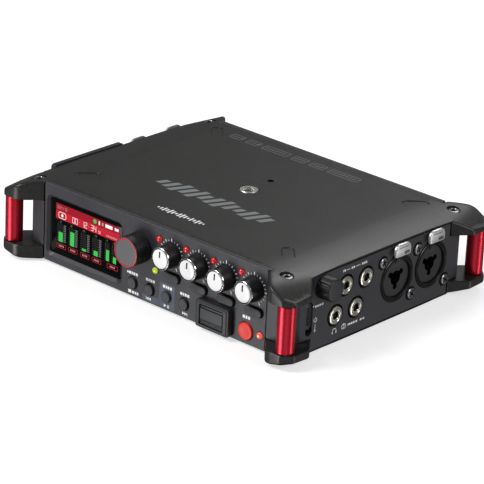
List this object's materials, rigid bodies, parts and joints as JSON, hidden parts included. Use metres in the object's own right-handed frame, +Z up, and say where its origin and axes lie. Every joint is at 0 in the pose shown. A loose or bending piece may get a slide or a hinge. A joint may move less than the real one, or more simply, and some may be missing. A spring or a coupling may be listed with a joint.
{
  "type": "portable audio field recorder",
  "caption": "Portable multi-track audio recorder: flat metal case with corner posts, gain knobs, jog dial, display, combo connectors, media cover and battery door.",
  "frame": {"origin": "on the ground under the middle of the case, with the feet resting on z = 0", "axes": "+Z up, -Y towards the operator, +X towards the operator's right"},
  "size_m": [0.1766, 0.138, 0.0391],
  "materials": {
    "charcoal": "matte speckled charcoal",
    "panel": "satin charcoal grey",
    "black_plastic": "satin black",
    "key_rubber": "soft satin grey",
    "red_post": "satin red anodised",
    "red_key": "matte red",
    "red_guide": "clear red",
    "green_guide": "clear green",
    "amber_guide": "clear amber red",
    "nickel": "nickel plated",
    "silver": "satin silver",
    "screw": "blackened",
    "glass": "clear black",
    "display": "gloss",
    "board": "green solder mask",
    "foot_rubber": "matte black"
  },
  "bodies": {
    "case": {"top_shell": "charcoal", "bottom_shell": "charcoal", "corner_post_front_left": "red_post", "corner_post_front_right": "red_post", "corner_post_rear_left": "red_post", "corner_post_rear_right": "red_post", "ear_screw_front_left": "screw", "ear_screw_front_right": "screw", "ear_screw_rear_left": "screw", "ear_screw_rear_right": "screw", "foot_strip_front": "foot_rubber", "foot_strip_rear": "foot_rubber", "top_thread_insert": "silver", "front_panel": "panel", "rear_panel": "panel", "right_panel": "panel", "left_panel": "panel", "screen_lens": "glass", "display_module": "display", "track_light_guide": "red_guide", "status_lamp": "green_guide", "record_lamp": "amber_guide", "timecode_in_jack": "nickel", "timecode_out_jack": "nickel", "headphone_jack": "nickel", "external_in_jack": "nickel", "combo_jack_1": "black_plastic", "combo_jack_2": "black_plastic", "combo_jack_3": "black_plastic", "combo_jack_4": "black_plastic", "card_socket": "black_plastic", "main_board": "board", "front_board": "board", "battery_tray": "black_plastic", "video_socket_pair": "silver", "data_socket": "silver"},
    "jog_shaft": {"jog_shaft": "screw"},
    "jog_dial": {"jog_dial": "black_plastic"},
    "gain_knob_1": {"gain_knob_1": "black_plastic"},
    "gain_knob_2": {"gain_knob_2": "black_plastic"},
    "gain_knob_3": {"gain_knob_3": "black_plastic"},
    "gain_knob_4": {"gain_knob_4": "black_plastic"},
    "track_key_1": {"track_key_1": "key_rubber"},
    "track_key_2": {"track_key_2": "key_rubber"},
    "track_key_3": {"track_key_3": "key_rubber"},
    "track_key_4": {"track_key_4": "key_rubber"},
    "menu_key": {"menu_key": "key_rubber"},
    "monitor_key": {"monitor_key": "key_rubber"},
    "play_key": {"play_key": "key_rubber"},
    "function_key": {"function_key": "key_rubber"},
    "record_key": {"record_key": "red_key"},
    "adapter_cover": {"adapter_cover": "key_rubber"},
    "volume_knob": {"volume_knob": "black_plastic"},
    "power_switch": {"power_switch": "black_plastic"},
    "latch_tab_1": {"latch_tab_1": "silver"},
    "latch_tab_2": {"latch_tab_2": "silver"},
    "latch_tab_3": {"latch_tab_3": "silver"},
    "latch_tab_4": {"latch_tab_4": "silver"},
    "media_cover": {"media_cover": "panel"},
    "battery_door": {"battery_door": "charcoal"}
  },
  "joints": [
    {"name": "jog_push", "type": "slide", "parent": "case", "child": "jog_shaft", "axis": [0, 1, 0], "range_m": [0, 0.0006], "stiffness_N_per_m": 2000, "springref_m": -0.0003},
    {"name": "jog_spin", "type": "hinge", "parent": "jog_shaft", "child": "jog_dial", "pos_m": [-0.0073, -0.05961, 0.0258], "axis": [0, -1, 0], "continuous": true},
    {"name": "gain_knob_1_turn", "type": "hinge", "parent": "case", "child": "gain_knob_1", "pos_m": [0.01143, -0.05961, 0.028], "axis": [0, -1, 0], "range_deg": [-150, 150]},
    {"name": "gain_knob_2_turn", "type": "hinge", "parent": "case", "child": "gain_knob_2", "pos_m": [0.02754, -0.05961, 0.028], "axis": [0, -1, 0], "range_deg": [-150, 150]},
    {"name": "gain_knob_3_turn", "type": "hinge", "parent": "case", "child": "gain_knob_3", "pos_m": [0.04365, -0.05961, 0.028], "axis": [0, -1, 0], "range_deg": [-150, 150]},
    {"name": "gain_knob_4_turn", "type": "hinge", "parent": "case", "child": "gain_knob_4", "pos_m": [0.05976, -0.05961, 0.028], "axis": [0, -1, 0], "range_deg": [-150, 150]},
    {"name": "track_key_1_press", "type": "slide", "parent": "case", "child": "track_key_1", "axis": [0, 1, 0], "range_m": [0, 0.0008], "stiffness_N_per_m": 1200, "springref_m": -0.0003},
    {"name": "track_key_2_press", "type": "slide", "parent": "case", "child": "track_key_2", "axis": [0, 1, 0], "range_m": [0, 0.0008], "stiffness_N_per_m": 1200, "springref_m": -0.0003},
    {"name": "track_key_3_press", "type": "slide", "parent": "case", "child": "track_key_3", "axis": [0, 1, 0], "range_m": [0, 0.0008], "stiffness_N_per_m": 1200, "springref_m": -0.0003},
    {"name": "track_key_4_press", "type": "slide", "parent": "case", "child": "track_key_4", "axis": [0, 1, 0], "range_m": [0, 0.0008], "stiffness_N_per_m": 1200, "springref_m": -0.0003},
    {"name": "menu_key_press", "type": "slide", "parent": "case", "child": "menu_key", "axis": [0, 1, 0], "range_m": [0, 0.0008], "stiffness_N_per_m": 1200, "springref_m": -0.0003},
    {"name": "monitor_key_press", "type": "slide", "parent": "case", "child": "monitor_key", "axis": [0, 1, 0], "range_m": [0, 0.0008], "stiffness_N_per_m": 1200, "springref_m": -0.0003},
    {"name": "play_key_press", "type": "slide", "parent": "case", "child": "play_key", "axis": [0, 1, 0], "range_m": [0, 0.0008], "stiffness_N_per_m": 1200, "springref_m": -0.0003},
    {"name": "function_key_press", "type": "slide", "parent": "case", "child": "function_key", "axis": [0, 1, 0], "range_m": [0, 0.0008], "stiffness_N_per_m": 1200, "springref_m": -0.0003},
    {"name": "record_key_press", "type": "slide", "parent": "case", "child": "record_key", "axis": [0, 1, 0], "range_m": [0, 0.0008], "stiffness_N_per_m": 1200, "springref_m": -0.0003},
    {"name": "adapter_cover_pull", "type": "slide", "parent": "case", "child": "adapter_cover", "axis": [0, -1, 0], "range_m": [0, 0.012]},
    {"name": "volume_turn", "type": "hinge", "parent": "case", "child": "volume_knob", "pos_m": [0.08124, -0.0392, 0.0302], "axis": [1, 0, 0], "range_deg": [-150, 150]},
    {"name": "power_slide", "type": "slide", "parent": "case", "child": "power_switch", "axis": [0, 0, -1], "range_m": [0, 0.0024], "stiffness_N_per_m": 400, "springref_m": -0.001},
    {"name": "latch_1_press", "type": "slide", "parent": "case", "child": "latch_tab_1", "axis": [-1, 0, 0], "range_m": [0, 0.001], "stiffness_N_per_m": 1500, "springref_m": -0.0003},
    {"name": "latch_2_press", "type": "slide", "parent": "case", "child": "latch_tab_2", "axis": [-1, 0, 0], "range_m": [0, 0.001], "stiffness_N_per_m": 1500, "springref_m": -0.0003},
    {"name": "latch_3_press", "type": "slide", "parent": "case", "child": "latch_tab_3", "axis": [1, 0, 0], "range_m": [0, 0.001], "stiffness_N_per_m": 1500, "springref_m": -0.0003},
    {"name": "latch_4_press", "type": "slide", "parent": "case", "child": "latch_tab_4", "axis": [1, 0, 0], "range_m": [0, 0.001], "stiffness_N_per_m": 1500, "springref_m": -0.0003},
    {"name": "media_cover_hinge", "type": "hinge", "parent": "case", "child": "media_cover", "pos_m": [-0.08444, -0.0176, 0.005], "axis": [0, -1, 0], "range_deg": [0, 90]},
    {"name": "battery_door_hinge", "type": "hinge", "parent": "case", "child": "battery_door", "pos_m": [0, -0.027, 0.001], "axis": [-1, 0, 0], "range_deg": [0, 100]}
  ]
}
